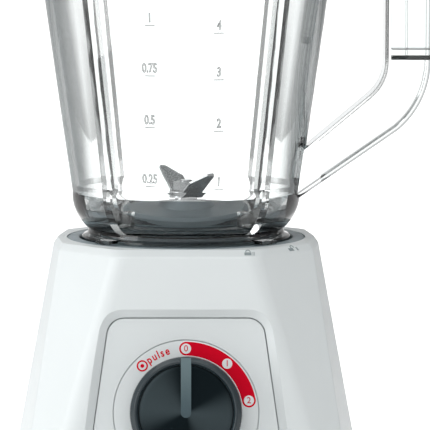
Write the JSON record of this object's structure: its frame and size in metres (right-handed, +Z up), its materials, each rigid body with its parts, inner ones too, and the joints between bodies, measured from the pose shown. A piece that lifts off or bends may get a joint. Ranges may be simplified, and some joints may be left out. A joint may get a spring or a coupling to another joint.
{
  "type": "countertop blender",
  "caption": "Countertop blender with a tapered motor base, rotary speed knob on a sunk panel, twist-lock clear jug with an open handle, lift-off lid and measuring cap.",
  "frame": {"origin": "motor axis at the worktop, under the middle of the base", "axes": "+Z up along the motor axis, front with the knob faces -Y, jug handle points along +X"},
  "size_m": [0.2067, 0.1899, 0.356],
  "materials": {
    "housing_white": "satin",
    "panel_white": "satin",
    "dial_print": "printed, matt",
    "seat_grey": "fine grained",
    "knob_slate": "satin",
    "knob_disc": "spun, dark",
    "pointer_slate": "satin",
    "black_plastic": "moulded",
    "rubber_black": "matt",
    "screw_steel": "zinc plated",
    "shaft_steel": "ground",
    "blade_steel": "brushed",
    "lamination": "varnished laminations",
    "copper_winding": "enamelled copper wire",
    "commutator_copper": "turned copper bars",
    "carbon": "carbon",
    "bracket_aluminium": "die cast",
    "clear_jug": "clear plastic",
    "clear_cap": "clear plastic",
    "lid_white": "satin",
    "seal_grey": "silicone",
    "bush_bronze": "sintered bronze"
  },
  "bodies": {
    "base": {"base_housing": "housing_white", "bottom_cover": "black_plastic", "feet": "rubber_black", "cover_screws": "screw_steel", "cord_gland": "black_plastic", "seat_plate": "seat_grey", "ring_clips": "black_plastic", "interlock_switch": "black_plastic", "switch_bracket": "black_plastic", "control_panel": "panel_white", "dial_ring": "dial_print", "rotary_switch": "black_plastic", "motor_stator": "lamination", "field_coils": "copper_winding", "upper_bracket": "bracket_aluminium", "lower_bracket": "bracket_aluminium", "upper_bearing": "shaft_steel", "lower_bearing": "shaft_steel", "motor_shroud": "black_plastic", "motor_mounts": "rubber_black", "motor_screws": "screw_steel", "brush_holders": "black_plastic", "carbon_brushes": "carbon"},
    "speed_knob": {"knob": "knob_slate", "knob_face": "knob_disc", "knob_pointer": "pointer_slate", "switch_spindle": "shaft_steel"},
    "rotor": {"motor_shaft": "shaft_steel", "rotor_core": "lamination", "rotor_windings": "copper_winding", "commutator": "commutator_copper", "cooling_fan": "black_plastic", "drive_dog": "black_plastic"},
    "lock_ring": {"interlock_ring": "black_plastic"},
    "plunger": {"switch_plunger": "lid_white"},
    "jug_unit": {"jug": "clear_jug", "handle_cover": "clear_jug", "blade_holder": "seat_grey", "holder_seal": "seal_grey", "blade_bush": "bush_bronze", "shaft_seal": "seal_grey"},
    "blade_unit": {"blade_shaft": "shaft_steel", "lower_blade": "blade_steel", "blade_spacer": "shaft_steel", "upper_blade": "blade_steel", "blade_nut": "screw_steel", "driven_dog": "black_plastic", "retaining_clip": "screw_steel"},
    "lid_unit": {"lid": "lid_white", "lid_seal": "seal_grey"},
    "cap_unit": {"measuring_cap": "clear_cap"}
  },
  "joints": [
    {"name": "knob_turn", "type": "hinge", "parent": "base", "child": "speed_knob", "pos_m": [0, -0.07666, 0.061], "axis": [0, 0.9853, -0.1709], "range_deg": [-40, 80]},
    {"name": "rotor_spin", "type": "hinge", "parent": "base", "child": "rotor", "pos_m": [0, 0, 0.07], "axis": [0, 0, 1], "continuous": true},
    {"name": "jug_twist", "type": "hinge", "parent": "base", "child": "lock_ring", "pos_m": [0, 0, 0.122], "axis": [0, 0, -1], "range_deg": [0, 24]},
    {"name": "switch_press", "type": "slide", "parent": "base", "child": "plunger", "axis": [0, 0, -1], "range_m": [0, 0.0012]},
    {"name": "jug_lift", "type": "slide", "parent": "lock_ring", "child": "jug_unit", "axis": [0, 0, 1], "range_m": [0, 0.08]},
    {"name": "blade_spin", "type": "hinge", "parent": "jug_unit", "child": "blade_unit", "pos_m": [0, 0, 0.145], "axis": [0, 0, 1], "continuous": true},
    {"name": "lid_lift", "type": "slide", "parent": "jug_unit", "child": "lid_unit", "axis": [0, 0, 1], "range_m": [0, 0.06]},
    {"name": "cap_lift", "type": "slide", "parent": "lid_unit", "child": "cap_unit", "axis": [0, 0, 1], "range_m": [0, 0.07]}
  ],
  "couplings": [
    {"joint": "blade_spin", "follows": "rotor_spin", "ratio": 1},
    {"joint": "switch_press", "follows": "jug_twist", "m_per_rad": 0.0028647}
  ]
}
